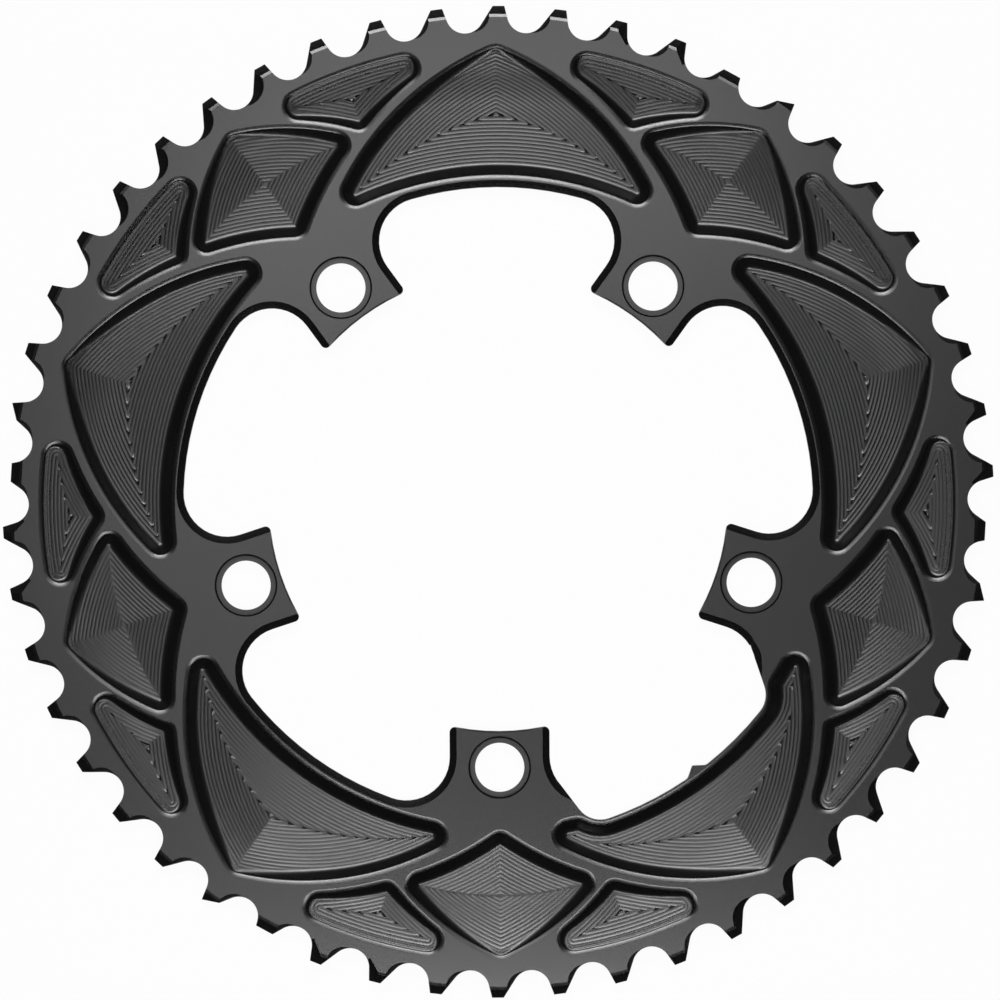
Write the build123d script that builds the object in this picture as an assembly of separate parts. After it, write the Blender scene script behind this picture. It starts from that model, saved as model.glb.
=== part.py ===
from build123d import *
import math
import os

# Outer chainring for a five-arm crank, in millimetres.
# The ring lies on its back: z = 0 is the back face, +Z is the front, the top of the picture is +Y.

# Chain and teeth
tooth_count = 50
chain_pitch = 12.7
roller_seat_radius = 3.95
tip_height = 1.57
tooth_thickness = 2.1
tip_lean = 0.65
tip_width = 2.4
short_tooth_drop = 1.65
slant_drop = 1.55

# Body
body_thickness = 4.2
bolt_circle_diameter = 110.0
bolt_count = 5
bolt_hole_diameter = 10.2
bolt_seat_step = 1.05
bolt_seat_depth = 1.2
bolt_seat_edge = 0.35
tab_reach = 7.5
tab_half_width = 10.35
tab_corner_radius = 1.1
tab_end_edge = 0.3
opening_beyond_bolts = 10.2
opening_corner_radius = 9.0
opening_chamfer_width = 1.25
opening_chamfer_depth = 0.95

# Back of the ring
shoulder_gap = 3.98
shoulder_bevel = 2.1
back_tip_bevel_width = 1.4
back_tip_bevel_depth = 0.45

# Front bevels of the teeth: a narrow soft step, then the steeper cap
cap_height = 1.7
cap_slope = 30.0
soft_step_width = 0.6
soft_step_depth = 0.14
flank_bevel_slope = 40.0
flank_bevel_radius = 3.7
flank_bevel_shift = 1.45
deep_bevel_slope = 30.0
deep_bevel_radius = 4.28
deep_bevel_shift = 2.15
lead_bevel_slope = 30.0
lead_bevel_length = 5.2
lead_bevel_across = 0.95
lead_bevel_drop = 2.75
lead_bevel_turn = 43.0

# Pockets in the front face: every wall starts with a shallow edge break
edge_break_width = 0.7
edge_break_depth = 0.28
wall_angle = 48.5
deep_pocket_depth = 2.2
small_pocket_depth = 2.0
tooth_rim = 1.88
big_floor_rise = 12.0
diamond_floor_rise = 16.5
small_floor_rise = 17.3
small_floor_overrun = 0.2

big_rim = 1.9
big_side_radius = 60.32
big_side_centre_x = 21.78
big_apex_gap = 0.32
big_floor_gap = 0.4
big_tip_floor_round = 0.07
big_horn_floor_round = 0.42

diamond_upper_radius = 51.63
diamond_upper_centre_x = 19.61
diamond_lower_radius = 60.4
diamond_lower_centre_x = 36.01
diamond_apex_gap = 0.19
diamond_bolt_gap = 12.32
diamond_floor_gap = 0.3
diamond_floor_round = 0.22

rib_to_big = 1.6
rib_to_diamond = 0.17
small_end_floor_round = 0.69
small_point_floor_round = 0.09

# Crank arm clearance in one sector, with its pointer
clearance_angle = 306.0
clearance_depth = 4.25
clearance_left_turn = 15.0
clearance_right_turn = 17.0
clearance_left_flare = 17.5
clearance_right_flare = 1.0
clearance_foot_drop = 10.4
clearance_corner_radius = 5.5
clearance_rim = 0.5
clearance_blend = 4.2
pointer_height = 1.65
pointer_half_width = 2.4
pointer_blend = 1.6
pointer_tip_round = 0.4

# Shift ramps on the back
ramp_length = 26.0
ramp_depth = 1.5
ramp_band = 4.7
ramp_lead = 9.0

# Tooth kinds, counted clockwise from the top and repeated every half turn
half_turn = tooth_count // 2
lead_teeth = (2, 3, 11, 12)
short_teeth = (4, 13)
slant_teeth = (5, 14)
deep_teeth = (18, 19, 20, 21)

# Circles that follow from the chain
pitch_angle = 360.0 / tooth_count
pitch_radius = chain_pitch / (2 * math.sin(math.pi / tooth_count))
root_radius = pitch_radius - roller_seat_radius
tip_radius = pitch_radius + tip_height
short_tip_radius = tip_radius - short_tooth_drop
shoulder_radius = root_radius - shoulder_gap
ramp_inner_radius = shoulder_radius - ramp_band
small_outer_radius = root_radius - tooth_rim

# Circles that follow from the crank's bolt circle
bolt_radius = bolt_circle_diameter / 2
bolt_seat_diameter = bolt_hole_diameter + 2 * bolt_seat_step
tab_end_radius = bolt_radius - tab_reach
opening_radius = bolt_radius + opening_beyond_bolts
big_inner_radius = opening_radius + big_rim
clearance_radius = opening_radius + clearance_depth
clearance_foot = opening_radius - clearance_foot_drop

front = body_thickness
tooth_back = body_thickness - tooth_thickness
bolt_angles = [90.0 + (k + 0.5) * 360.0 / bolt_count for k in range(bolt_count)]
sector_angles = [90.0 + k * 360.0 / bolt_count for k in range(bolt_count)]


def wall_run(depth):
    """How far a pocket's outline moves inward from its rim to a depth."""
    return edge_break_width + (depth - edge_break_depth) * math.tan(math.radians(wall_angle))


def centre_below(apex, radius, across):
    """Height of an arc's centre, from the height where the arc crosses the middle line."""
    return apex - math.sqrt(radius**2 - across**2)


# Places of the pocket sides, and the roundings between them at the rim
floor_overlap = 0.1
deep_cut = deep_pocket_depth + floor_overlap
small_cut = small_pocket_depth + floor_overlap
big_apex = small_outer_radius - big_apex_gap
big_side_centre_y = centre_below(big_apex, big_side_radius, big_side_centre_x)
diamond_apex = small_outer_radius - diamond_apex_gap
diamond_upper_centre_y = centre_below(diamond_apex, diamond_upper_radius, diamond_upper_centre_x)
diamond_foot = bolt_radius + diamond_bolt_gap
diamond_lower_centre_y = centre_below(diamond_foot, diamond_lower_radius, diamond_lower_centre_x)
big_tip_round = wall_run(deep_cut) + big_tip_floor_round
big_horn_round = wall_run(deep_cut) + big_horn_floor_round
diamond_round = wall_run(deep_cut) + diamond_floor_round
small_end_round = wall_run(small_cut) + small_end_floor_round
small_point_round = wall_run(small_cut) + small_point_floor_round
big_floor_end_radius = small_outer_radius - big_floor_gap
diamond_floor_end_radius = small_outer_radius - diamond_floor_gap
small_floor_end_radius = small_outer_radius + small_floor_overrun


def tooth_angle(number):
    return 90.0 - number * pitch_angle


def tooth_point(number, across, radius):
    """Point of a tooth: across is clockwise from its middle line."""
    turn = math.radians(tooth_angle(number))
    x = radius * math.cos(turn) + across * math.sin(turn)
    y = radius * math.sin(turn) - across * math.cos(turn)
    return (x, y)


def at_tooth(number, shape):
    """Turn a shape made at the top of the ring to a tooth's place."""
    return Rot(0, 0, -number * pitch_angle) * shape


def at_angle(angle, shape):
    return Rot(0, 0, angle - 90.0) * shape


def tangent_point(centre, radius, outside, side):
    """Where the line from an outside point touches a circle; side picks one of the two."""
    dx = outside[0] - centre[0]
    dy = outside[1] - centre[1]
    reach = math.hypot(dx, dy)
    turn = math.atan2(dy, dx) + side * math.acos(radius / reach)
    return (centre[0] + radius * math.cos(turn), centre[1] + radius * math.sin(turn))


# Flanks of one tooth: lines from the tip corners that touch the roller seats on both sides
seat_across = pitch_radius * math.sin(math.radians(pitch_angle / 2))
seat_up = pitch_radius * math.cos(math.radians(pitch_angle / 2))
trailing_tip = (tip_lean - tip_width / 2, tip_radius)
leading_tip = (tip_lean + tip_width / 2, tip_radius)
trailing_foot = tangent_point((-seat_across, seat_up), roller_seat_radius, trailing_tip, -1)
leading_foot = tangent_point((seat_across, seat_up), roller_seat_radius, leading_tip, 1)


def along(start, end, radius):
    """Point of a flank line at a given height."""
    share = (radius - start[1]) / (end[1] - start[1])
    return (start[0] + share * (end[0] - start[0]), radius)


def tip_corners(number):
    kind = number % half_turn
    trailing = trailing_tip
    leading = leading_tip
    if kind in short_teeth:
        trailing = along(trailing_foot, trailing_tip, short_tip_radius)
        leading = along(leading_foot, leading_tip, short_tip_radius)
    if kind in slant_teeth:
        trailing = along(trailing_foot, trailing_tip, tip_radius - slant_drop)
    return trailing, leading


def tooth_outline():
    edges = []
    for number in range(tooth_count):
        trailing, leading = tip_corners(number)
        following, _ = tip_corners((number + 1) % tooth_count)
        tip_start = tooth_point(number, *trailing)
        tip_end = tooth_point(number, *leading)
        seat_start = tooth_point(number, *leading_foot)
        seat_end = tooth_point(number + 1, *trailing_foot)
        next_tip = tooth_point(number + 1, *following)
        seat_bottom = tooth_point(number + 0.5, 0, pitch_radius - roller_seat_radius)
        edges.append(Line(tip_start, tip_end))
        edges.append(Line(tip_end, seat_start))
        edges.append(ThreePointArc(seat_start, seat_bottom, seat_end))
        edges.append(Line(seat_end, next_tip))
    return make_face(edges)


def turned_blank():
    """Half section turned about the axis: flat front, stepped back, bevelled tooth tips."""
    cap_start = tip_radius - cap_height
    beyond = tip_radius + 0.5
    cap_drop = soft_step_depth + (beyond - cap_start) * math.tan(math.radians(cap_slope))
    back_rise = back_tip_bevel_depth * (beyond - tip_radius + back_tip_bevel_width) / back_tip_bevel_width
    section = Polyline(
        (tab_end_radius - 5, 0),
        (shoulder_radius, 0),
        (shoulder_radius + shoulder_bevel, tooth_back),
        (tip_radius - back_tip_bevel_width, tooth_back),
        (beyond, tooth_back + back_rise),
        (beyond, front - cap_drop),
        (cap_start, front - soft_step_depth),
        (cap_start - soft_step_width, front),
        (tab_end_radius - 5, front),
        close=True,
    )
    return revolve(Plane.XZ * make_face(section), Axis.Z)


def short_cap():
    """Bevel of a shortened tooth, made at the top of the ring."""
    start = short_tip_radius - cap_height
    beyond = short_tip_radius + 0.6
    drop = soft_step_depth + (beyond - start) * math.tan(math.radians(cap_slope))
    side = Polyline(
        (start - soft_step_width, front),
        (start, front - soft_step_depth),
        (beyond, front - drop),
        (beyond, front + 1),
        (start - soft_step_width, front + 1),
        close=True,
    )
    return extrude(Plane.YZ * make_face(side), amount=3.2, both=True)


def bevel_cone(radius, slope, shift):
    """Chamfer cutter beside a tooth's trailing flank; its middle is moved from the seat toward the tooth."""
    rise = math.tan(math.radians(slope))
    depth = (radius - 0.6) * rise
    above = 0.5
    cone = Cone(0.6, radius + above / rise, depth + above, align=(Align.CENTER, Align.CENTER, Align.MIN))
    return Pos(shift - seat_across, seat_up, front - depth) * cone


def lead_bevel():
    """Flat bevel across a tooth's leading corner."""
    rise = math.tan(math.radians(lead_bevel_slope))
    reach = 4.0
    side = Polyline(
        (0, 0),
        (reach, -reach * rise),
        (reach, 1),
        (0, 1),
        close=True,
    )
    wedge = extrude(Plane.XZ * make_face(side), amount=lead_bevel_length / 2, both=True)
    return Pos(lead_bevel_across, tip_radius - lead_bevel_drop, front) * Rot(0, 0, lead_bevel_turn) * wedge


def turned(point, angle):
    """Point turned counter-clockwise about the axis."""
    turn = math.radians(angle)
    x = point[0] * math.cos(turn) - point[1] * math.sin(turn)
    y = point[0] * math.sin(turn) + point[1] * math.cos(turn)
    return (x, y)


def arc_about(centre, start, end):
    """Shorter arc between two points about a centre."""
    first = math.atan2(start[1] - centre[1], start[0] - centre[0])
    last = math.atan2(end[1] - centre[1], end[0] - centre[0])
    sweep = (last - first + math.pi) % (2 * math.pi) - math.pi
    radius = math.hypot(start[0] - centre[0], start[1] - centre[1])
    middle = first + sweep / 2
    through = (centre[0] + radius * math.cos(middle), centre[1] + radius * math.sin(middle))
    return ThreePointArc(start, through, end)


def lobe_points(grow):
    """Right half of the opening between two tabs, lobe middle at the top, made wider by grow.
    Gives the foot of the corner rounding on the tab side, its centre, and its end on the outer arc."""
    half_sector = 180.0 / bolt_count
    across = tab_half_width + opening_corner_radius
    reach = opening_radius - opening_corner_radius
    up = math.sqrt(reach**2 - across**2)
    foot = turned((grow - tab_half_width, up), -half_sector)
    centre = turned((-across, up), -half_sector)
    stretch = (opening_radius + grow) / reach
    end = (centre[0] * stretch, centre[1] * stretch)
    return foot, centre, end


def mirrored(point):
    return (-point[0], point[1])


def lobe_wire(grow, height):
    """Outline of one opening; its inner point lies well inside the hub opening."""
    foot, centre, end = lobe_points(grow)
    inner = (0, (tab_half_width - grow) / math.sin(math.pi / bolt_count))
    edges = [
        Line(inner, foot),
        arc_about(centre, foot, end),
        arc_about((0, 0), end, mirrored(end)),
        arc_about(mirrored(centre), mirrored(end), mirrored(foot)),
        Line(mirrored(foot), inner),
    ]
    return Pos(0, 0, height) * Wire(edges)


def opening_face():
    """The whole opening: hub circle, five lobes, rounded tab corners."""
    half_sector = 180.0 / bolt_count
    foot, centre, end = lobe_points(0)
    corner_across = tab_half_width - tab_corner_radius
    corner_up = math.sqrt((tab_end_radius + tab_corner_radius) ** 2 - corner_across**2)
    corner = turned((-corner_across, corner_up), -half_sector)
    side = turned((-tab_half_width, corner_up), -half_sector)
    shrink = tab_end_radius / (tab_end_radius + tab_corner_radius)
    tab_end = (corner[0] * shrink, corner[1] * shrink)
    edges = []
    for angle in sector_angles:
        turn = angle - 90.0
        right = [turned(q, turn) for q in (tab_end, corner, side, foot, centre, end)]
        left = [turned(mirrored(q), turn) for q in (tab_end, corner, side, foot, centre, end)]
        next_tab = turned(tab_end, turn + 2 * half_sector)
        edges.append(arc_about(right[1], right[0], right[2]))
        edges.append(Line(right[2], right[3]))
        edges.append(arc_about(right[4], right[3], right[5]))
        edges.append(arc_about((0, 0), right[5], left[5]))
        edges.append(arc_about(left[4], left[5], left[3]))
        edges.append(Line(left[3], left[2]))
        edges.append(arc_about(left[1], left[2], left[0]))
        edges.append(arc_about((0, 0), left[0], next_tab))
    return make_face(edges)


def touching(first, second, radius, near):
    """Convex rounding that touches two arcs; of the two possible places the one closest to near."""
    ax, ay, first_radius, first_side = first
    bx, by, second_radius, second_side = second
    reach_a = first_radius - first_side * radius
    reach_b = second_radius - second_side * radius
    dx = bx - ax
    dy = by - ay
    apart = math.hypot(dx, dy)
    along_line = (reach_a**2 - reach_b**2 + apart**2) / (2 * apart)
    off_line = math.sqrt(reach_a**2 - along_line**2)
    base_x = ax + along_line * dx / apart
    base_y = ay + along_line * dy / apart
    step_x = -off_line * dy / apart
    step_y = off_line * dx / apart
    places = [(base_x + step_x, base_y + step_y), (base_x - step_x, base_y - step_y)]
    x, y = min(places, key=lambda q: math.hypot(q[0] - near[0], q[1] - near[1]))
    return (x, y, radius, 1)


def joint(first, second, inset):
    """Point where two touching arcs meet, after both moved inward by inset."""
    ax, ay, first_radius, first_side = first
    bx, by, second_radius, second_side = second
    radius = first_radius - first_side * inset
    turn = math.atan2(by - ay, bx - ax)
    if first_side == second_side and first_radius < second_radius:
        turn = turn + math.pi
    return (ax + radius * math.cos(turn), ay + radius * math.sin(turn))


def chain_wire(chain, inset, height):
    """Closed wire of touching arcs, run counter-clockwise. An arc is (x, y, radius, side):
    side 1 bulges outward, side -1 bulges into the outline."""
    edges = []
    count = len(chain)
    for k in range(count):
        x, y, radius, side = chain[k]
        start = joint(chain[k - 1], chain[k], inset)
        end = joint(chain[k], chain[(k + 1) % count], inset)
        first = math.atan2(start[1] - y, start[0] - x)
        last = math.atan2(end[1] - y, end[0] - x)
        sweep = (last - first) % (2 * math.pi)
        if side < 0:
            sweep = sweep - 2 * math.pi
        middle = first + sweep / 2
        reach = radius - side * inset
        through = (x + reach * math.cos(middle), y + reach * math.sin(middle))
        edges.append(ThreePointArc(start, through, end))
    return Pos(0, 0, height) * Wire(edges)


def turned_point(radius, turn):
    """Point at a distance from the axis, turned counter-clockwise from the top."""
    return (-radius * math.sin(math.radians(turn)), radius * math.cos(math.radians(turn)))


def clearance_corner(turn):
    """Inner corner of the clearance as an arc that bulges into the pocket beside it."""
    x, y = turned_point(clearance_radius - clearance_corner_radius, turn)
    return (x, y, clearance_corner_radius + clearance_rim, -1)


def clearance_region():
    """Crank arm clearance at the top of the ring: an arc, two rounded corners, flared sides."""
    left = clearance_corner(clearance_left_turn)[:2]
    right = clearance_corner(-clearance_right_turn)[:2]
    radius = clearance_corner_radius
    lean = math.radians(clearance_left_flare)
    left_side = (left[0] - radius * math.cos(lean), left[1] + radius * math.sin(lean))
    left_foot = (left_side[0] - (left_side[1] - clearance_foot) * math.tan(lean), clearance_foot)
    lean = math.radians(clearance_right_flare)
    right_side = (right[0] + radius * math.cos(lean), right[1] + radius * math.sin(lean))
    right_foot = (right_side[0] + (right_side[1] - clearance_foot) * math.tan(lean), clearance_foot)
    left_top = turned_point(clearance_radius, clearance_left_turn)
    right_top = turned_point(clearance_radius, -clearance_right_turn)
    edges = [
        Line(right_foot, right_side),
        arc_about(right, right_side, right_top),
        arc_about((0, 0), right_top, left_top),
        arc_about(left, left_top, left_side),
        Line(left_side, left_foot),
        Line(left_foot, right_foot),
    ]
    return make_face(edges)


def pointer():
    """Small triangle that points to the axis; it runs on past the edge of the clearance."""
    tip = clearance_radius - pointer_height
    beyond = 1.6
    outline = Polyline(
        (0, tip),
        (pointer_half_width * beyond, tip + pointer_height * beyond),
        (-pointer_half_width * beyond, tip + pointer_height * beyond),
        close=True,
    )
    return make_face(outline)


def big_sides():
    left = (big_side_centre_x, big_side_centre_y, big_side_radius, 1)
    right = (-big_side_centre_x, big_side_centre_y, big_side_radius, 1)
    return left, right


def big_chain():
    """Arrowhead pocket: two convex sides and an inner side that follows the opening."""
    left, right = big_sides()
    inner = (0, 0, big_inner_radius, -1)
    tip = touching(left, right, big_tip_round, (0, pitch_radius))
    left_horn = touching(left, inner, big_horn_round, (-30, opening_radius))
    right_horn = touching(right, inner, big_horn_round, (30, opening_radius))
    return [tip, left, left_horn, inner, right_horn, right]


def clearance_chain():
    """The same pocket in the clearance sector, with a thin rim round the clearance."""
    left, right = big_sides()
    tip, _, left_horn, inner, right_horn, _ = big_chain()
    left_corner = clearance_corner(clearance_left_turn)
    right_corner = clearance_corner(-clearance_right_turn)
    left_blend = touching(inner, left_corner, clearance_blend, left_horn)
    right_blend = touching(inner, right_corner, clearance_blend, right_horn)
    arch = (0, 0, clearance_radius + clearance_rim, -1)
    lower = [left_horn, inner, left_blend, left_corner, arch, right_corner, right_blend, inner, right_horn]
    return [tip, left] + lower + [right]


def diamond_chain():
    """Pocket outboard of a bolt hole: convex outer sides, hollow inner sides."""
    upper_left = (diamond_upper_centre_x, diamond_upper_centre_y, diamond_upper_radius, 1)
    upper_right = (-diamond_upper_centre_x, diamond_upper_centre_y, diamond_upper_radius, 1)
    lower_left = (-diamond_lower_centre_x, diamond_lower_centre_y, diamond_lower_radius, -1)
    lower_right = (diamond_lower_centre_x, diamond_lower_centre_y, diamond_lower_radius, -1)
    top = touching(upper_left, upper_right, diamond_round, (0, pitch_radius))
    left = touching(upper_left, lower_left, diamond_round, (-20, 80))
    bottom = touching(lower_left, lower_right, diamond_round, (0, pitch_radius))
    right = touching(upper_right, lower_right, diamond_round, (20, 80))
    return [top, upper_left, left, lower_left, bottom, lower_right, right, upper_right]


def small_chain():
    """Pocket between a diamond on its left and a big pocket on its right; its sides run along theirs."""
    turn = math.radians(90.0 / bolt_count)
    x = big_side_centre_x * math.cos(turn) + big_side_centre_y * math.sin(turn)
    y = big_side_centre_y * math.cos(turn) - big_side_centre_x * math.sin(turn)
    beside_big = (x, y, big_side_radius + rib_to_big, -1)
    x = -diamond_upper_centre_x * math.cos(turn) - diamond_upper_centre_y * math.sin(turn)
    y = diamond_upper_centre_y * math.cos(turn) - diamond_upper_centre_x * math.sin(turn)
    beside_diamond = (x, y, diamond_upper_radius + rib_to_diamond, -1)
    outer = (0, 0, small_outer_radius, 1)
    left_end = touching(outer, beside_diamond, small_end_round, (-15, small_outer_radius))
    right_end = touching(outer, beside_big, small_end_round, (12, small_outer_radius))
    point = touching(beside_diamond, beside_big, small_point_round, (-3, small_outer_radius))
    return [outer, left_end, beside_diamond, point, beside_big, right_end]


def drafted_cutter(chain, depth):
    """Pocket volume below the front face: a shallow edge break, then the sloped wall."""
    rim = chain_wire(chain, 0, front)
    step = chain_wire(chain, edge_break_width, front - edge_break_depth)
    foot = chain_wire(chain, wall_run(depth), front - depth)
    upper = Solid.make_loft([rim, step], ruled=True)
    lower = Solid.make_loft([step, foot], ruled=True)
    return upper + lower


def dished_space(depth, end_radius, rise_length):
    """Everything above a dished floor that is flat inside and rises to the front face at end_radius."""
    bottom = front - depth
    flat_radius = end_radius - rise_length
    start_radius = opening_radius - 10
    flat = Line((start_radius, bottom), (flat_radius, bottom))
    rise = TangentArc((flat_radius, bottom), (end_radius, front), tangent=(1, 0))
    rest = Polyline(
        (end_radius, front),
        (end_radius, front + 1),
        (start_radius, front + 1),
        (start_radius, bottom),
    )
    return revolve(Plane.XZ * make_face([flat, rise, *rest.edges()]), Axis.Z)


def ramp():
    """Sloped cut in the back shoulder that lifts the chain; deepest beside the shortened tooth."""
    side = Polyline(
        (-ramp_lead, -1),
        (-ramp_lead, ramp_depth),
        (ramp_length - ramp_lead, -0.02),
        (ramp_length - ramp_lead, -1),
        close=True,
    )
    width = shoulder_radius + shoulder_bevel + 1 - ramp_inner_radius
    wedge = extrude(Plane.XZ * make_face(side), amount=-width)
    return Pos(0, ramp_inner_radius, 0) * wedge


# Toothed disc
body = extrude(tooth_outline(), amount=body_thickness) & turned_blank()

# Bevels of the single teeth
bevels = []
plain_cone = bevel_cone(flank_bevel_radius, flank_bevel_slope, flank_bevel_shift)
deep_cone = bevel_cone(deep_bevel_radius, deep_bevel_slope, deep_bevel_shift)
for number in range(tooth_count):
    kind = number % half_turn
    bevels.append(at_tooth(number, deep_cone if kind in deep_teeth else plain_cone))
    if kind in lead_teeth:
        bevels.append(at_tooth(number, lead_bevel()))
    if kind in short_teeth:
        bevels.append(at_tooth(number, short_cap()))
body = body - bevels

# Opening with five tabs, its chamfer, and the bolt holes
cuts = [Pos(0, 0, -1) * extrude(opening_face(), amount=body_thickness + 2)]
chamfer_foot = lobe_wire(0, front - opening_chamfer_depth)
chamfer_top = lobe_wire(opening_chamfer_width, front)
lobe_chamfer = Solid.make_loft([chamfer_foot, chamfer_top], ruled=True)
for angle in sector_angles:
    cuts.append(at_angle(angle, lobe_chamfer))
end_edge = Cone(
    tab_end_radius,
    tab_end_radius + tab_end_edge,
    tab_end_edge,
    align=(Align.CENTER, Align.CENTER, Align.MIN),
)
cuts.append(Pos(0, 0, front - tab_end_edge) * end_edge)
low_align = (Align.CENTER, Align.CENTER, Align.MIN)
for angle in bolt_angles:
    place = at_angle(angle, Pos(0, bolt_radius, 0))
    seat_radius = bolt_seat_diameter / 2
    hole = Cylinder(bolt_hole_diameter / 2, body_thickness + 2, align=low_align)
    seat = Cylinder(seat_radius, bolt_seat_depth, align=low_align)
    edge = Cone(seat_radius, seat_radius + bolt_seat_edge, bolt_seat_edge, align=low_align)
    cuts.append(place * Pos(0, 0, -1) * hole)
    cuts.append(place * Pos(0, 0, front - bolt_seat_depth) * seat)
    cuts.append(place * Pos(0, 0, front - bolt_seat_edge) * edge)
body = body - cuts

# Crank arm clearance
gap = clearance_region() - pointer()
middle = gap.vertices().sort_by(lambda v: abs(v.X))
gap = fillet(middle[:1], pointer_tip_round)
beside = [v for v in gap.vertices() if v.Y > clearance_radius - pointer_height / 2]
roots = sorted(beside, key=lambda v: abs(v.X))[:2]
gap = fillet(roots, pointer_blend)
clearance = extrude(gap, amount=body_thickness + 2).moved(Location((0, 0, -1)))
body = body - at_angle(clearance_angle, clearance)

# Pockets
pockets = []
big_space = dished_space(deep_pocket_depth, big_floor_end_radius, big_floor_rise)
diamond_space = dished_space(deep_pocket_depth, diamond_floor_end_radius, diamond_floor_rise)
small_space = dished_space(small_pocket_depth, small_floor_end_radius, small_floor_rise)
for angle in sector_angles:
    special = abs((angle - clearance_angle) % 360) < 1
    chain = clearance_chain() if special else big_chain()
    pockets.append(at_angle(angle, drafted_cutter(chain, deep_cut)) & big_space)
diamond = drafted_cutter(diamond_chain(), deep_cut) & diamond_space
small_right = drafted_cutter(small_chain(), small_cut) & small_space
small_left = mirror(small_right, about=Plane.YZ)
for angle in bolt_angles:
    pockets.append(at_angle(angle, diamond))
    pockets.append(at_angle(angle - 90.0 / bolt_count, small_right))
    pockets.append(at_angle(angle + 90.0 / bolt_count, small_left))
body = body - pockets

# Shift ramps behind the shortened teeth
ramps = []
for number in range(tooth_count):
    if number % half_turn in short_teeth:
        ramps.append(at_tooth(number, ramp()))
body = body - ramps

os.makedirs("parts", exist_ok=True)
chainring = body.solids()[0]
export_step(chainring, "parts/chainring.step")
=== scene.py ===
import math

import bmesh
import bpy
import numpy as np
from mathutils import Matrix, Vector
from mathutils.geometry import delaunay_2d_cdt


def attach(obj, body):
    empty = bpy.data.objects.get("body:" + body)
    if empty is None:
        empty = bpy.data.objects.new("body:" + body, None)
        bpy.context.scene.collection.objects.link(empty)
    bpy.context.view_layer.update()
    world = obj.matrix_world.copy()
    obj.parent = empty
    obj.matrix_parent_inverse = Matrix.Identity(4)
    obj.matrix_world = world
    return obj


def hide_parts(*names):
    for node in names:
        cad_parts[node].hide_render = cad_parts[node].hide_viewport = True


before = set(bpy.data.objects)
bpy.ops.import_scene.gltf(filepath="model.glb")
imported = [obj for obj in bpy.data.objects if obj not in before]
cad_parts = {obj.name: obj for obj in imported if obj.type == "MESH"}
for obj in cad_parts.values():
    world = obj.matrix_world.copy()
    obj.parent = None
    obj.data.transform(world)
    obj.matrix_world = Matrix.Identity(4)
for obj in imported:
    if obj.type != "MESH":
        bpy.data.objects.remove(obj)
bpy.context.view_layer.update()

# Looks of a black anodised chainring. Lengths are in millimetres until a mesh is made.
MM = 0.001

# The ring, its bolt holes, its opening and the crank arm clearance
body_thickness = 4.2
bolt_count = 5
bolt_radius = 55.0
seat_limit = bolt_radius + 8.0
opening_radius = 65.2
clearance_angle = 306.0
clearance_radius = 69.45
clearance_left_turn = 15.0
clearance_right_turn = 17.0
clearance_corner_radius = 5.5
clearance_rim = 0.35
clearance_blend = 4.2
chamfer_depth = 0.95
chamfer_growth = 0.22

# Outlines of the pockets: big, diamond and small
big_inner_radius = 66.88
big_side_radius = 60.54
big_side_centre = (21.78, 38.73)
big_tip_round = 3.27
big_horn_round = 3.62
diamond_upper_radius = 51.68
diamond_upper_centre = (19.61, 47.35)
diamond_lower_radius = 60.18
diamond_lower_centre = (36.01, 18.83)
diamond_round = 3.35
rib_to_big = 1.08
rib_to_diamond = 0.07
small_outer_radius = 95.3
small_end_round = 3.6
small_point_round = 3.05

# Rough places of the roundings, to choose between the two that touch both arcs
tip_near = (0, small_outer_radius)
big_horn_near = (30, opening_radius)
diamond_side_near = (20, 80)
small_left_near = (-15, small_outer_radius)
small_right_near = (12, small_outer_radius)
small_point_near = (-3, small_outer_radius)

# Section of the pockets: slope at distances inward from the rim, then the floors
edge_section = ((0.0, 0.0), (0.08, 0.17), (0.8, 0.31), (0.95, 0.87), (20.0, 0.87))
deep_pocket_depth = 1.98
small_pocket_depth = 1.84
big_floor_end = 94.9
big_floor_rise = 12.0
diamond_floor_end = 95.0
diamond_floor_rise = 16.5
small_floor_end = 95.5
small_floor_rise = 17.3
floor_arc_share = 0.99
foot_blend = 0.53
least_foot_share = 0.05

# Tool marks on the pocket floors
pass_width = 0.765
cutter_radius = 1.5
lines_per_pass = 4
ridge_start = 0.2
ridge_fade = 0.5
full_ridge_depth = 1.2
least_ridge = 0.75
last_pass_inset = 1.12
last_pass_width = 0.6
last_pass_depth = 0.11
last_pass_floor = 0.55
last_pass_fade = 0.25
cusp_reach = 0.3
cusp_share = 1.2
cusp_gain = 3.0
plain_ridge = (pass_width / 2) ** 2 / (2 * cutter_radius)
cusp_mark = -1

# Mesh: steps along the outlines, levels down the walls, sharpness, and what counts as equal
outline_step = 1.0
shortest_step = 0.1
smallest_radius = 1e-4
smallest_reach = 1e-9
wall_levels = (0.0, 0.08, 0.32, 0.56, 0.8, 0.88)
cut_halvings = 22
angle_slack = 1e-4
inset_slack = 1e-5
pass_slack = 1e-3
ridge_slack = 0.005
floor_share = 0.9
plane_slack = 1e-3
chamfer_slack = 0.02
rim_slack = 0.1
place_digits = 3
crease = math.radians(10)
front_side_height = 1.5

# Camera straight above: scale and place of the ring in the picture, and its reach in metres
picture_size = 1000
pixels_per_mm = 4.8305
centre_pixel = (498.18, 501.77)
photo_turn = 0.33
lens = 500.0
sensor_width = 36.0
farthest_seen = 20

# Finish: satin anodising, duller where the cutter has been
finish_ior = 1.7
grain_scale = 1400
grain_detail = 3
grain_span = (0.3, 0.7)
grain_roughness = (0.245, 0.265)
grain_bump = 0.03
grain_height = 0.02
cut_span = (0.2, 0.9)
cut_roughness = 0.045
tint_scale = 90
tint_detail = 4
tint_dark = (0.0010, 0.0010, 0.0011, 1)
tint_light = (0.0024, 0.0024, 0.0026, 1)

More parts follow.
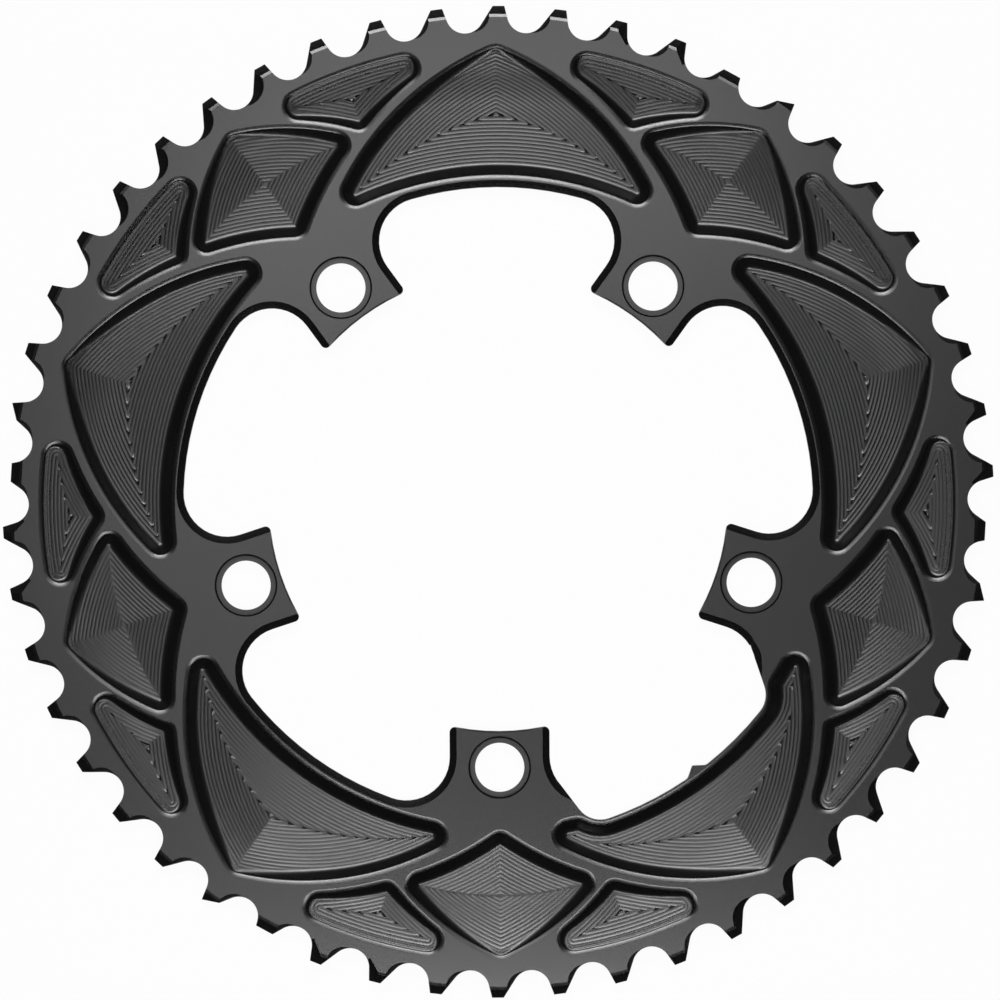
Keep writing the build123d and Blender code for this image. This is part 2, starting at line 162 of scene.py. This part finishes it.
# Stage: floor, with its size in metres, and surround
floor_size = 8
floor_gap = 0.05
floor_grey = (0.8, 0.8, 0.8, 1)
floor_roughness = 0.9
floor_white_share = 0.96
surround_grey = (0.04, 0.04, 0.04, 1)

# Lamps: tilt from straight above and heading from +X in degrees, distance and size in metres
key_heading = 94
key_distance = 1.8
key_size = (0.12, 0.9)
key_levels = {"key_high": (36, 0.76), "key": (28, 0.61), "key_low": (16, 0.175)}
bottom_size = (0.03, 0.2)
over_tilt = 10.7
over_distance = 0.458
over_size = (0.05, 0.05)
over_levels = {
    "over_left_top": (135, 0.041),
    "over_left": (180, 0.021),
    "over_left_bottom": (225, 0.015),
    "over_right_top": (45, 0.02),
}

front = body_thickness
sector_angles = [90.0 + k * 360.0 / bolt_count for k in range(bolt_count)]
bolt_angles = [90.0 + (k + 0.5) * 360.0 / bolt_count for k in range(bolt_count)]


# Pocket outlines: chains of touching arcs, each (x, y, radius, side), side 1 bulging outward
def touching(first, second, radius, near):
    """Rounding that touches two arcs; of the two possible places the one closest to near."""
    ax, ay, first_radius, first_side = first
    bx, by, second_radius, second_side = second
    reach_a = first_radius - first_side * radius
    reach_b = second_radius - second_side * radius
    apart = math.hypot(bx - ax, by - ay)
    along = (reach_a**2 - reach_b**2 + apart**2) / (2 * apart)
    off = math.sqrt(reach_a**2 - along**2)
    ux, uy = (bx - ax) / apart, (by - ay) / apart
    base = (ax + along * ux, ay + along * uy)
    places = [(base[0] - off * uy, base[1] + off * ux), (base[0] + off * uy, base[1] - off * ux)]
    x, y = min(places, key=lambda q: math.hypot(q[0] - near[0], q[1] - near[1]))
    return (x, y, radius, 1)


def joint(first, second):
    """Point where two touching arcs meet."""
    ax, ay, first_radius, first_side = first
    bx, by, second_radius, second_side = second
    turn = math.atan2(by - ay, bx - ax)
    if first_side == second_side and first_radius < second_radius:
        turn += math.pi
    return (ax + first_radius * math.cos(turn), ay + first_radius * math.sin(turn))


def spans(chain):
    """Arcs with their start angle and signed sweep: (x, y, radius, side, start, sweep)."""
    arcs = []
    count = len(chain)
    for k in range(count):
        x, y, radius, side = chain[k]
        begin = joint(chain[k - 1], chain[k])
        finish = joint(chain[k], chain[(k + 1) % count])
        first = math.atan2(begin[1] - y, begin[0] - x)
        last = math.atan2(finish[1] - y, finish[0] - x)
        sweep = (last - first) % (2 * math.pi)
        if side < 0:
            sweep -= 2 * math.pi
        arcs.append((x, y, radius, side, first, sweep))
    return arcs


def big_chain():
    x, y = big_side_centre
    left = (x, y, big_side_radius, 1)
    right = (-x, y, big_side_radius, 1)
    inner = (0, 0, big_inner_radius, -1)
    tip = touching(left, right, big_tip_round, tip_near)
    x, y = big_horn_near
    left_horn = touching(left, inner, big_horn_round, (-x, y))
    right_horn = touching(right, inner, big_horn_round, (x, y))
    return [tip, left, left_horn, inner, right_horn, right]


def clearance_corner(turn):
    reach = clearance_radius - clearance_corner_radius
    x = -reach * math.sin(math.radians(turn))
    y = reach * math.cos(math.radians(turn))
    return (x, y, clearance_corner_radius + clearance_rim, -1)


def clearance_chain():
    """The big pocket beside the crank arm clearance."""
    tip, left, left_horn, inner, right_horn, right = big_chain()
    left_corner = clearance_corner(clearance_left_turn)
    right_corner = clearance_corner(-clearance_right_turn)
    left_blend = touching(inner, left_corner, clearance_blend, left_horn)
    right_blend = touching(inner, right_corner, clearance_blend, right_horn)
    arch = (0, 0, clearance_radius + clearance_rim, -1)
    lower = [left_horn, inner, left_blend, left_corner, arch, right_corner, right_blend, inner, right_horn]
    return [tip, left] + lower + [right]


def diamond_chain():
    x, y = diamond_upper_centre
    upper_left = (x, y, diamond_upper_radius, 1)
    upper_right = (-x, y, diamond_upper_radius, 1)
    x, y = diamond_lower_centre
    lower_left = (-x, y, diamond_lower_radius, -1)
    lower_right = (x, y, diamond_lower_radius, -1)
    x, y = diamond_side_near
    top = touching(upper_left, upper_right, diamond_round, tip_near)
    left = touching(upper_left, lower_left, diamond_round, (-x, y))
    bottom = touching(lower_left, lower_right, diamond_round, tip_near)
    right = touching(upper_right, lower_right, diamond_round, (x, y))
    return [top, upper_left, left, lower_left, bottom, lower_right, right, upper_right]


def turned(point, angle):
    turn = math.radians(angle)
    x = point[0] * math.cos(turn) - point[1] * math.sin(turn)
    y = point[0] * math.sin(turn) + point[1] * math.cos(turn)
    return (x, y)


def small_chain():
    """Pocket between a diamond on its left and a big pocket on its right."""
    quarter = 90.0 / bolt_count
    x, y = turned(big_side_centre, -quarter)
    beside_big = (x, y, big_side_radius + rib_to_big, -1)
    x, y = turned((-diamond_upper_centre[0], diamond_upper_centre[1]), quarter)
    beside_diamond = (x, y, diamond_upper_radius + rib_to_diamond, -1)
    outer = (0, 0, small_outer_radius, 1)
    left_end = touching(outer, beside_diamond, small_end_round, small_left_near)
    right_end = touching(outer, beside_big, small_end_round, small_right_near)
    point = touching(beside_diamond, beside_big, small_point_round, small_point_near)
    return [outer, left_end, beside_diamond, point, beside_big, right_end]


# Distances inside an outline
def inward(arcs, points):
    """Distance of points from every arc, measured inward, and the unit directions inward."""
    distances = []
    headings = []
    for x, y, radius, side, first, sweep in arcs:
        dx = points[:, 0] - x
        dy = points[:, 1] - y
        reach = np.hypot(dx, dy)
        turn = (np.arctan2(dy, dx) - first) * math.copysign(1, sweep)
        turn = (turn + angle_slack) % (2 * math.pi)
        near = side * (radius - reach)
        near[turn > abs(sweep) + 2 * angle_slack] = np.inf
        distances.append(near)
        headings.append(np.column_stack((dx, dy)) * (-side / np.maximum(reach, smallest_reach))[:, None])
    return np.array(distances), np.array(headings)


def inset_of(arcs, points):
    """Distance of points from the outline, measured inward; below zero outside."""
    return inward(arcs, points)[0].min(axis=0)


def kept_runs(arcs, arc, inset):
    """Stretches of an arc, moved inward, that no other arc cuts off."""
    x, y, radius, side, first, sweep = arc
    reach = radius - side * inset
    if reach < smallest_radius:
        return []
    count = max(2, int(abs(sweep) * radius / outline_step) + 2)
    shares = np.linspace(0, 1, count)

    def at(share):
        angles = first + sweep * np.atleast_1d(share)
        return np.column_stack((x + reach * np.cos(angles), y + reach * np.sin(angles)))

    def is_kept(share):
        return inset_of(arcs, at(share)) > inset - inset_slack

    def cut_end(bad, good):
        """Share where the stretch is cut off, and a share close beside it."""
        inner = good
        for _ in range(cut_halvings):
            middle = (bad + good) / 2
            if is_kept(middle)[0]:
                good = middle
            else:
                bad = middle
        beside = good + math.copysign(cusp_reach / (abs(sweep) * reach), inner - good)
        crowded = abs(inner - beside) * abs(sweep) * reach < shortest_step
        crowded = crowded or (inner - beside) * (inner - good) < 0
        return [good] if crowded else [good, beside]

    kept = is_kept(shares)
    runs = []
    k = 0
    while k < count:
        if not kept[k]:
            k += 1
            continue
        begin = k
        while k + 1 < count and kept[k + 1]:
            k += 1
        run = list(shares[begin:k + 1])
        if begin > 0:
            run = cut_end(shares[begin - 1], shares[begin]) + run
        if k + 1 < count:
            run += cut_end(shares[k + 1], shares[k])[::-1]
        if len(run) > 1:
            runs.append([tuple(q) for q in at(np.array(run))])
        k += 1
    return runs


# Heights inside a pocket
def wall_drop(inset):
    """Depth below the front face along the edge break and the wall."""
    drop = np.zeros_like(inset)
    for (start, slope), (end, next_slope) in zip(edge_section, edge_section[1:]):
        reach = np.clip(inset - start, 0, end - start)
        drop += slope * reach + (next_slope - slope) / (end - start) * reach**2 / 2
    return drop


def dished(depth, end, rise):
    """Floor that is flat inside and rises along an arc to the front face at the end radius."""
    bend = (rise**2 + depth**2) / (2 * depth)

    def floor(radius):
        offset = np.clip(radius - end + rise, 0, bend * floor_arc_share)
        return depth - bend + np.sqrt(bend**2 - offset**2)

    return floor


def ridge_height(arcs, points, inset, corners):
    """Height left between cutter passes; corners are the points where a pass turns sharply."""
    outer = np.floor(inset / pass_width - 0.5)
    to_outer = inset - (outer + 0.5) * pass_width
    to_inner = pass_width - to_outer
    distances, headings = inward(arcs, points)
    nearest = distances.argmin(axis=0)
    ahead = points + headings[nearest, np.arange(len(points))] * to_inner[:, None]
    cut_off = inset_of(arcs, ahead) < inset + to_inner - pass_slack
    for k in np.flatnonzero(cut_off & (inset > wall_levels[-1])):
        near = corners.get(int(outer[k]) + 1)
        to_inner[k] = np.hypot(*(near - points[k]).T).min() if near is not None else pass_width
    height = np.minimum(to_outer, to_inner) ** 2 / (2 * cutter_radius)
    return height + np.clip(height - plain_ridge, 0, None) * cusp_gain


def last_pass(inset, flat):
    """Groove of the last pass, which shows where a shallow floor leaves no wall."""
    near = np.clip(np.abs(inset - last_pass_inset) / last_pass_width, 0, 1)
    shallow = np.clip((last_pass_floor - flat) / last_pass_fade, 0, 1)
    return last_pass_depth * (1 - near**2) * shallow


def pocket_depth(floor, inset, radius, ridge):
    """Depth of the surface, wall and floor with a hollow between them, and the floor's share."""
    wall = wall_drop(inset)
    flat = floor(radius)
    clear = np.clip((wall - flat - ridge_start) / ridge_fade, 0, 1)
    full = np.clip(flat / full_ridge_depth, least_ridge, 1)
    base = flat - ridge * clear * full + last_pass(inset, flat)
    blend = foot_blend * np.clip(flat, least_foot_share, 1)
    share = np.clip(0.5 + (wall - base) / (2 * blend), 0, 1)
    return wall + (base - wall) * share - blend * share * (1 - share), share


def pocket_mesh(chain, floor):
    """Vertices, triangles and ridge numbers of one pocket at the top of the ring."""
    arcs = spans(chain)
    step = pass_width / lines_per_pass
    levels = list(wall_levels)
    lines = []
    number = int(wall_levels[-1] / step) + 1
    found = True
    while found:
        found = any(kept_runs(arcs, arc, number * step) for arc in arcs)
        levels += [number * step] if found else []
        number += 1
    corners = {}
    for level in levels:
        runs = [run for arc in arcs for run in kept_runs(arcs, arc, level)]
        ends = [run[k] for run in runs for k in (0, -1)]
        corners[round(level / pass_width - 0.5, place_digits)] = np.array(ends)
        lines += runs
    places = []
    index = {}
    edges = []
    for line in lines:
        chain_ids = []
        for q in line:
            key = (round(q[0], place_digits), round(q[1], place_digits))
            if key not in index:
                index[key] = len(places)
                places.append(q)
            chain_ids.append(index[key])
        edges += [(a, b) for a, b in zip(chain_ids, chain_ids[1:]) if a != b]
    result = delaunay_2d_cdt([Vector(q) for q in places], edges, [], 1, inset_slack)
    flat = np.array([(v.x, v.y) for v in result[0]])
    inset = np.maximum(inset_of(arcs, flat), 0)
    ridge = ridge_height(arcs, flat, inset, corners)
    depth, share = pocket_depth(floor, inset, np.hypot(flat[:, 0], flat[:, 1]), ridge)
    passes = np.rint(inset / pass_width)
    on_ridge = (np.abs(inset - passes * pass_width) < ridge_slack) & (share > floor_share)
    ridges = np.where(on_ridge, passes, 0).astype(int)
    ridges[(ridge > plain_ridge * cusp_share) & (share > floor_share)] = cusp_mark
    depth = np.maximum(depth, 0)
    depth[inset < plane_slack] = 0
    return np.column_stack((flat, front - depth)), [tuple(f) for f in result[2]], ridges


def placed(mesh, angle, flip):
    """A pocket turned to its angle, and mirrored first if flip is set."""
    vertices, triangles, ridges = mesh
    turn = math.radians(angle - 90.0)
    x = -vertices[:, 0] if flip else vertices[:, 0]
    y = vertices[:, 1]
    moved = np.column_stack((
        x * math.cos(turn) - y * math.sin(turn),
        x * math.sin(turn) + y * math.cos(turn),
        vertices[:, 2],
    ))
    if flip:
        triangles = [(a, c, b) for a, b, c in triangles]
    return moved, triangles, ridges


def all_pockets():
    big_floor = dished(deep_pocket_depth, big_floor_end, big_floor_rise)
    diamond_floor = dished(deep_pocket_depth, diamond_floor_end, diamond_floor_rise)
    small_floor = dished(small_pocket_depth, small_floor_end, small_floor_rise)
    big = pocket_mesh(big_chain(), big_floor)
    beside_clearance = pocket_mesh(clearance_chain(), big_floor)
    diamond = pocket_mesh(diamond_chain(), diamond_floor)
    small = pocket_mesh(small_chain(), small_floor)
    pockets = []
    for angle in sector_angles:
        special = abs(angle - clearance_angle) < 1
        pockets.append(placed(beside_clearance if special else big, angle, False))
    for angle in bolt_angles:
        quarter = 90.0 / bolt_count
        pockets.append(placed(diamond, angle, False))
        pockets.append(placed(small, angle - quarter, False))
        pockets.append(placed(small, angle + quarter, True))
    return pockets


# The rest of the ring comes from the solid
def on_front(face):
    return all(abs(v.co.z - front * MM) < plane_slack * MM for v in face.verts)


def edge_loops(edges):
    """Sorts boundary edges into closed loops."""
    open_edges = dict.fromkeys(edges)
    loops = []
    while open_edges:
        edge = next(iter(open_edges))
        del open_edges[edge]
        loop = [edge]
        start, vertex = edge.verts
        while vertex is not start:
            edge = next(e for e in vertex.link_edges if e in open_edges)
            del open_edges[edge]
            loop.append(edge)
            vertex = edge.other_vert(vertex)
        loops.append(loop)
    return loops


def pocket_loop(loop):
    """True for the rim of a pocket, false for the teeth, the opening and the bolt seats."""
    xs = [v.co.x for e in loop for v in e.verts]
    ys = [v.co.y for e in loop for v in e.verts]
    middle = math.hypot(max(xs) + min(xs), max(ys) + min(ys)) / 2
    return middle > seat_limit * MM


def widen_chamfer(loop):
    """Moves the upper edge of the opening's chamfer outward, along the chamfer."""
    for vertex in {v for e in loop for v in e.verts}:
        feet = [e.other_vert(vertex).co for e in vertex.link_edges]
        feet = [co for co in feet if abs(front * MM - co.z - chamfer_depth * MM) < chamfer_slack * MM]
        if feet:
            foot = min(feet, key=lambda co: (co.xy - vertex.co.xy).length)
            vertex.co.xy += (vertex.co.xy - foot.xy).normalized() * chamfer_growth * MM


def strip_front(ring):
    """Removes the front face and the pockets; returns the front edges that stay."""
    top = {f for f in ring.faces if on_front(f)}
    borders = [e for e in ring.edges if sum(f in top for f in e.link_faces) == 1]
    loops = edge_loops(borders)
    rims = [loop for loop in loops if pocket_loop(loop)]
    others = [loop for loop in loops if not pocket_loop(loop)]
    kept = [e for loop in others for e in loop]
    reaches = [max(v.co.xy.length for e in loop for v in e.verts) / MM for loop in others]
    for loop, reach in zip(others, reaches):
        if seat_limit < reach < small_outer_radius:
            widen_chamfer(loop)
    doomed = set(top)
    waiting = [f for loop in rims for e in loop for f in e.link_faces if f not in top]
    while waiting:
        face = waiting.pop()
        if face in doomed:
            continue
        doomed.add(face)
        waiting += [f for e in face.edges for f in e.link_faces if f not in doomed]
    outline = [[tuple(v.co.xy / MM) for v in e.verts] for e in kept]
    bmesh.ops.delete(ring, geom=[f for f in ring.faces if f in doomed], context="FACES")
    return outline


def rim_edges(pocket):
    """Edges of a pocket's mesh that have one triangle only, as pairs of points."""
    vertices, triangles = pocket[:2]
    uses = {}
    for a, b, c in triangles:
        for pair in ((a, b), (b, c), (c, a)):
            key = tuple(sorted(pair))
            uses[key] = uses.get(key, 0) + 1
    return [[tuple(vertices[k][:2]) for k in key] for key, count in uses.items() if count == 1]


def front_face(outline):
    """Flat triangles between the teeth, the opening, the bolt seats and the rims of the pockets."""
    places = []
    index = {}
    beside = {}
    for pair in outline:
        ids = []
        for q in pair:
            key = (round(q[0], place_digits), round(q[1], place_digits))
            if key not in index:
                index[key] = len(places)
                places.append(Vector(q))
            ids.append(index[key])
        beside.setdefault(ids[0], []).append(ids[1])
        beside.setdefault(ids[1], []).append(ids[0])
    loops = []
    waiting = set(beside)
    while waiting:
        loop = [waiting.pop()]
        while True:
            onward = [k for k in beside[loop[-1]] if k in waiting]
            if not onward:
                break
            waiting.remove(onward[0])
            loop.append(onward[0])
        following = loop[1:] + loop[:1]
        turns = sum(places[a].cross(places[b]) for a, b in zip(loop, following))
        loops.append(loop if turns > 0 else loop[::-1])
    teeth = max(range(len(loops)), key=lambda n: max(places[k].length for k in loops[n]))
    result = delaunay_2d_cdt(places, [], loops, 1, inset_slack)
    vertices = np.array([(v.x, v.y, front) for v in result[0]])
    triangles = [tuple(f) for f, origin in zip(result[2], result[5]) if list(origin) == [teeth]]
    return vertices, triangles, np.zeros(len(vertices), int)


def add_faces(ring, part, layer):
    """Adds a part to the ring's mesh; the layer keeps the number of the ridge each vertex lies on."""
    vertices, triangles, ridges = part
    made = [ring.verts.new(Vector(q) * MM) for q in vertices]
    for vertex, ridge in zip(made, ridges):
        vertex[layer] = int(ridge)
    for t in triangles:
        ring.faces.new([made[k] for k in t])


def mark_sharp_edges(ring, layer):
    """Edges of the solid and the ridges stay crisp; other surfaces in the pockets run into each other."""
    for edge in ring.edges:
        one, two = edge.link_faces
        rim = on_front(one) != on_front(two)
        reach = edge.verts[0].co.xy.length / MM
        floor_side = min(v.co.z for v in edge.verts) > front_side_height * MM
        pocket = floor_side and big_inner_radius - rim_slack < reach < small_outer_radius + rim_slack
        numbers = [v[layer] for v in edge.verts]
        ridge = cusp_mark in numbers or (numbers[0] > 0 and numbers[0] == numbers[1])
        edge.smooth = not rim and not ridge and (pocket or edge.calc_face_angle() < crease)


def build_ring(cad):
    """The ring with fine pockets: its own mesh, welded from the solid, the front and the pockets."""
    ring = bmesh.new()
    ring.from_mesh(cad.data)
    bmesh.ops.remove_doubles(ring, verts=ring.verts, dist=plane_slack * MM)
    layer = ring.verts.layers.int.new("ridge")
    outline = strip_front(ring)
    pockets = all_pockets()
    for pocket in pockets:
        outline += rim_edges(pocket)
        add_faces(ring, pocket, layer)
    add_faces(ring, front_face(outline), layer)
    bmesh.ops.remove_doubles(ring, verts=ring.verts, dist=2 * plane_slack * MM)
    for face in ring.faces:
        face.smooth = True
        face.material_index = 0
    mark_sharp_edges(ring, layer)
    ring.verts.layers.int.remove(layer)
    mesh = bpy.data.meshes.new("machined_ring")
    ring.to_mesh(mesh)
    ring.free()
    return bpy.data.objects.new("machined_ring", mesh)


# Finish
def anodised_black():
    material = bpy.data.materials.new("anodised_black")
    material.use_nodes = True
    nodes = material.node_tree.nodes
    links = material.node_tree.links
    shader = nodes["Principled BSDF"]
    shader.inputs["Metallic"].default_value = 0.0
    shader.inputs["IOR"].default_value = finish_ior
    place = nodes.new("ShaderNodeTexCoord")

    def noise(scale, detail):
        texture = nodes.new("ShaderNodeTexNoise")
        texture.inputs["Scale"].default_value = scale
        texture.inputs["Detail"].default_value = detail
        links.new(place.outputs["Object"], texture.inputs["Vector"])
        return texture.outputs["Fac"]

    def spread(value, source, target):
        reach = nodes.new("ShaderNodeMapRange")
        reach.inputs["From Min"].default_value = source[0]
        reach.inputs["From Max"].default_value = source[1]
        reach.inputs["To Min"].default_value = target[0]
        reach.inputs["To Max"].default_value = target[1]
        links.new(value, reach.inputs["Value"])
        return reach.outputs["Result"]

    grain = noise(grain_scale, grain_detail)
    height = nodes.new("ShaderNodeSeparateXYZ")
    links.new(place.outputs["Object"], height.inputs["Vector"])
    cut_heights = [(front - depth) * MM for depth in cut_span]
    duller = nodes.new("ShaderNodeMath")
    duller.operation = "ADD"
    links.new(spread(grain, grain_span, grain_roughness), duller.inputs[0])
    links.new(spread(height.outputs["Z"], cut_heights, (0.0, cut_roughness)), duller.inputs[1])
    links.new(duller.outputs["Value"], shader.inputs["Roughness"])
    tint = nodes.new("ShaderNodeValToRGB")
    for element, position, colour in zip(tint.color_ramp.elements, grain_span, (tint_dark, tint_light)):
        element.position = position
        element.color = colour
    links.new(noise(tint_scale, tint_detail), tint.inputs["Fac"])
    links.new(tint.outputs["Color"], shader.inputs["Base Color"])
    bump = nodes.new("ShaderNodeBump")
    bump.inputs["Strength"].default_value = grain_bump
    bump.inputs["Distance"].default_value = grain_height * MM
    links.new(grain, bump.inputs["Height"])
    links.new(bump.outputs["Normal"], shader.inputs["Normal"])
    return material


# Stage
def white_floor():
    """Pale floor that shows as white and keeps a faint shadow."""
    bpy.ops.mesh.primitive_plane_add(size=floor_size, location=(0, 0, -floor_gap * MM))
    floor = bpy.context.object
    floor.name = "floor"
    material = bpy.data.materials.new("floor")
    material.use_nodes = True
    nodes = material.node_tree.nodes
    links = material.node_tree.links
    shader = nodes["Principled BSDF"]
    shader.inputs["Base Color"].default_value = floor_grey
    shader.inputs["Roughness"].default_value = floor_roughness
    shader.inputs["Specular IOR Level"].default_value = 0.0
    glow = nodes.new("ShaderNodeEmission")
    glow.inputs["Strength"].default_value = 1.0
    path = nodes.new("ShaderNodeLightPath")
    seen = nodes.new("ShaderNodeMath")
    seen.operation = "MAXIMUM"
    links.new(path.outputs["Is Camera Ray"], seen.inputs[0])
    links.new(path.outputs["Is Glossy Ray"], seen.inputs[1])
    also = nodes.new("ShaderNodeMath")
    also.operation = "MAXIMUM"
    links.new(seen.outputs[0], also.inputs[0])
    links.new(path.outputs["Is Transmission Ray"], also.inputs[1])
    share = nodes.new("ShaderNodeMath")
    share.operation = "MULTIPLY"
    share.inputs[1].default_value = floor_white_share
    links.new(also.outputs[0], share.inputs[0])
    mix = nodes.new("ShaderNodeMixShader")
    links.new(share.outputs[0], mix.inputs["Fac"])
    links.new(shader.outputs["BSDF"], mix.inputs[1])
    links.new(glow.outputs["Emission"], mix.inputs[2])
    links.new(mix.outputs["Shader"], nodes["Material Output"].inputs["Surface"])
    floor.data.materials.append(material)


def softbox(name, tilt, heading, distance, size, level):
    """Soft light aimed at the ring, which it reaches with the given level."""
    light = bpy.data.lights.new(name, "AREA")
    light.shape = "RECTANGLE"
    light.size, light.size_y = size
    light.energy = math.pi * distance**2 * level
    lamp = bpy.data.objects.new(name, light)
    out = math.sin(math.radians(tilt))
    lamp.location = (
        distance * out * math.cos(math.radians(heading)),
        distance * out * math.sin(math.radians(heading)),
        distance * math.cos(math.radians(tilt)),
    )
    lamp.rotation_euler = (0, math.radians(tilt), math.radians(heading))
    lamp.visible_camera = False
    bpy.context.scene.collection.objects.link(lamp)


def dim_studio():
    world = bpy.context.scene.world or bpy.data.worlds.new("studio")
    bpy.context.scene.world = world
    world.use_nodes = True
    world.node_tree.nodes["Background"].inputs["Color"].default_value = surround_grey


def camera_above():
    camera = bpy.data.cameras.new("camera")
    camera.sensor_width = sensor_width
    camera.lens = lens
    rig = bpy.data.objects.new("camera", camera)
    across = picture_size / pixels_per_mm
    height = across * lens / sensor_width
    x = (picture_size / 2 - centre_pixel[0]) / pixels_per_mm
    y = (centre_pixel[1] - picture_size / 2) / pixels_per_mm
    rig.location = (x * MM, y * MM, (height + front) * MM)
    rig.rotation_euler = (0, 0, math.radians(-photo_turn))
    camera.clip_end = farthest_seen
    bpy.context.scene.collection.objects.link(rig)
    bpy.context.scene.camera = rig


ring = build_ring(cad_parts["chainring"])
ring.data.materials.clear()
ring.data.materials.append(anodised_black())
bpy.context.scene.collection.objects.link(ring)
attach(ring, "root")
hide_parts("chainring")

white_floor()
dim_studio()
for name, (tilt, level) in key_levels.items():
    softbox(name, tilt, key_heading, key_distance, key_size, level)
softbox("top_high", tilt=38, heading=90, distance=0.38, size=(0.04, 0.3), level=0.243)
softbox("top", tilt=18, heading=90, distance=0.32, size=(0.08, 0.12), level=0.14)
softbox("bottom", tilt=26, heading=270, distance=0.34, size=bottom_size, level=0.68)
softbox("bottom_low", tilt=30, heading=270, distance=0.36, size=bottom_size, level=0.206)
for name, (heading, level) in over_levels.items():
    softbox(name, over_tilt, heading, over_distance, over_size, level)
softbox("over", tilt=0.5, heading=90, distance=1.5, size=(0.15, 0.15), level=0.031)
camera_above()
bpy.context.scene.view_settings.view_transform = "Standard"
